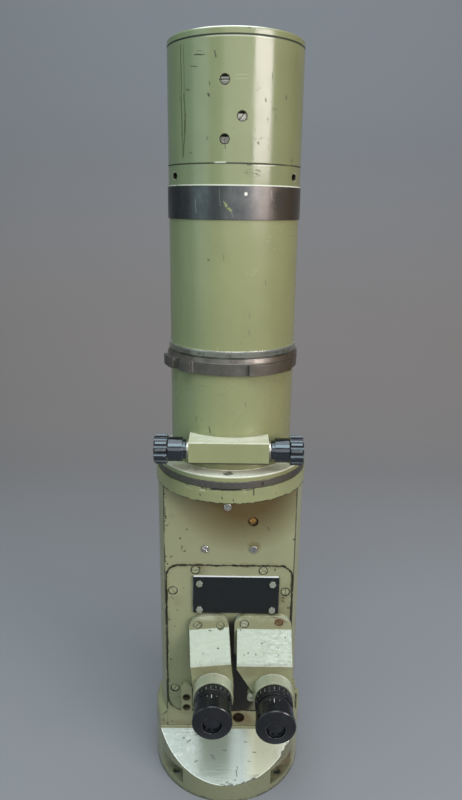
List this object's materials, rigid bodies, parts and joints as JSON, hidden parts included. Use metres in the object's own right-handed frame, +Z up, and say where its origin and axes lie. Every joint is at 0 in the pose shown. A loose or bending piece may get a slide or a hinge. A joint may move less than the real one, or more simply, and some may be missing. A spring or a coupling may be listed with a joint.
{
  "type": "bunker periscope",
  "caption": "Rotating tube periscope on a fixed body: worm azimuth drive with two knobs, binocular eyepieces that focus, a swinging left eyepiece housing and a bolted round foot",
  "frame": {"origin": "centre of the foot's underside, on the tube's axis", "axes": "+Z up along the tube's axis, eyepieces face -Y, entrance window faces +Y, +X to the right as seen from the eyepieces"},
  "size_m": [0.1746, 0.2151, 0.7994],
  "materials": {
    "green_paint": "worn pale olive gloss paint on cast aluminium",
    "black_enamel": "gloss black",
    "black_metal": "black lacquered aluminium",
    "bare_aluminium": "dull machined metal",
    "gunmetal": "dark grey chemical blacking",
    "steel": "turned steel, lightly aged",
    "bronze": "machined bronze",
    "glass": "coated optical glass"
  },
  "bodies": {
    "base": {"foot": "green_paint", "body_housing": "green_paint", "cap_screws": "steel", "front_cover": "green_paint", "cover_screws": "steel", "blank_plate": "black_enamel", "plate_bolts": "steel", "face_screws": "steel", "recessed_screws": "bronze", "lamp_socket": "green_paint", "side_bracket": "green_paint", "right_prism_housing": "green_paint", "right_housing_screws": "steel", "right_prisms": "glass", "optics_shelf": "bare_aluminium", "body_prisms": "glass", "azimuth_base": "green_paint", "thrust_ring": "bronze", "worm_wheel": "bronze", "neck_nut": "steel"},
    "azimuth": {"lower_tube": "green_paint", "scale_ring": "bare_aluminium", "azimuth_bush": "bronze", "flange_screws": "steel", "worm_block": "green_paint", "worm_bushes": "bronze", "upper_race": "steel", "upper_tube": "green_paint", "tube_lens_cells": "black_metal", "tube_lenses": "glass", "sealing_band": "gunmetal", "head_collar": "green_paint", "head_screws": "steel", "head_shell": "green_paint", "head_lid": "green_paint", "head_window": "glass", "window_frame": "bare_aluminium", "head_prism": "glass", "prism_cradle": "bare_aluminium"},
    "worm": {"worm_shaft": "steel", "left_knob": "black_enamel", "right_knob": "black_enamel", "knob_screws": "steel"},
    "coupling": {"coupling_ring": "bare_aluminium"},
    "derotator": {"derotator_cage": "bronze", "derotator_balls": "steel", "derotator_prism": "glass"},
    "left_housing": {"left_prism_housing": "green_paint", "left_housing_screws": "steel", "left_prisms": "glass", "swivel_ring": "steel"},
    "left_dioptre": {"left_dioptre_ring": "black_metal"},
    "left_eyepiece": {"left_eyepiece_tube": "black_metal", "left_eye_lens": "glass", "left_eyecup": "black_metal"},
    "right_dioptre": {"right_dioptre_ring": "black_metal"},
    "right_eyepiece": {"right_eyepiece_tube": "black_metal", "right_eye_lens": "glass", "right_eyecup": "black_metal"}
  },
  "joints": [
    {"name": "azimuth_turn", "type": "hinge", "parent": "base", "child": "azimuth", "pos_m": [0, 0, 0.4], "axis": [0, 0, 1], "continuous": true},
    {"name": "knob_spin", "type": "hinge", "parent": "azimuth", "child": "worm", "pos_m": [0, -0.069, 0.4235], "axis": [1, 0, 0], "continuous": true},
    {"name": "derotator_turn", "type": "hinge", "parent": "base", "child": "derotator", "pos_m": [0, 0, 0.41], "axis": [0, 0, 1], "continuous": true},
    {"name": "coupling_turn", "type": "hinge", "parent": "azimuth", "child": "coupling", "pos_m": [0, 0, 0.5036], "axis": [0, 0, 1], "range_deg": [0, 40]},
    {"name": "left_swing", "type": "hinge", "parent": "base", "child": "left_housing", "pos_m": [-0.0205, -0.036, 0.183], "axis": [0, -1, 0], "range_deg": [-8, 3.5]},
    {"name": "left_focus_turn", "type": "hinge", "parent": "left_housing", "child": "left_dioptre", "pos_m": [-0.0159, -0.0845, 0.13924], "axis": [0, -1, 0], "range_deg": [-45, 238.5]},
    {"name": "left_focus", "type": "slide", "parent": "left_housing", "child": "left_eyepiece", "axis": [0, -1, 0], "range_m": [-0.001, 0.0053]},
    {"name": "right_focus_turn", "type": "hinge", "parent": "base", "child": "right_dioptre", "pos_m": [0.05, -0.0845, 0.139], "axis": [0, -1, 0], "range_deg": [-261, 22.5]},
    {"name": "right_focus", "type": "slide", "parent": "base", "child": "right_eyepiece", "axis": [0, -1, 0], "range_m": [-0.0058, 0.0005]}
  ],
  "couplings": [
    {"joint": "knob_spin", "follows": "azimuth_turn", "ratio": 64},
    {"joint": "derotator_turn", "follows": "azimuth_turn", "ratio": 0.5},
    {"joint": "left_focus_turn", "follows": "left_focus", "rad_per_m": 785.4},
    {"joint": "right_focus_turn", "follows": "right_focus", "rad_per_m": 785.4}
  ]
}
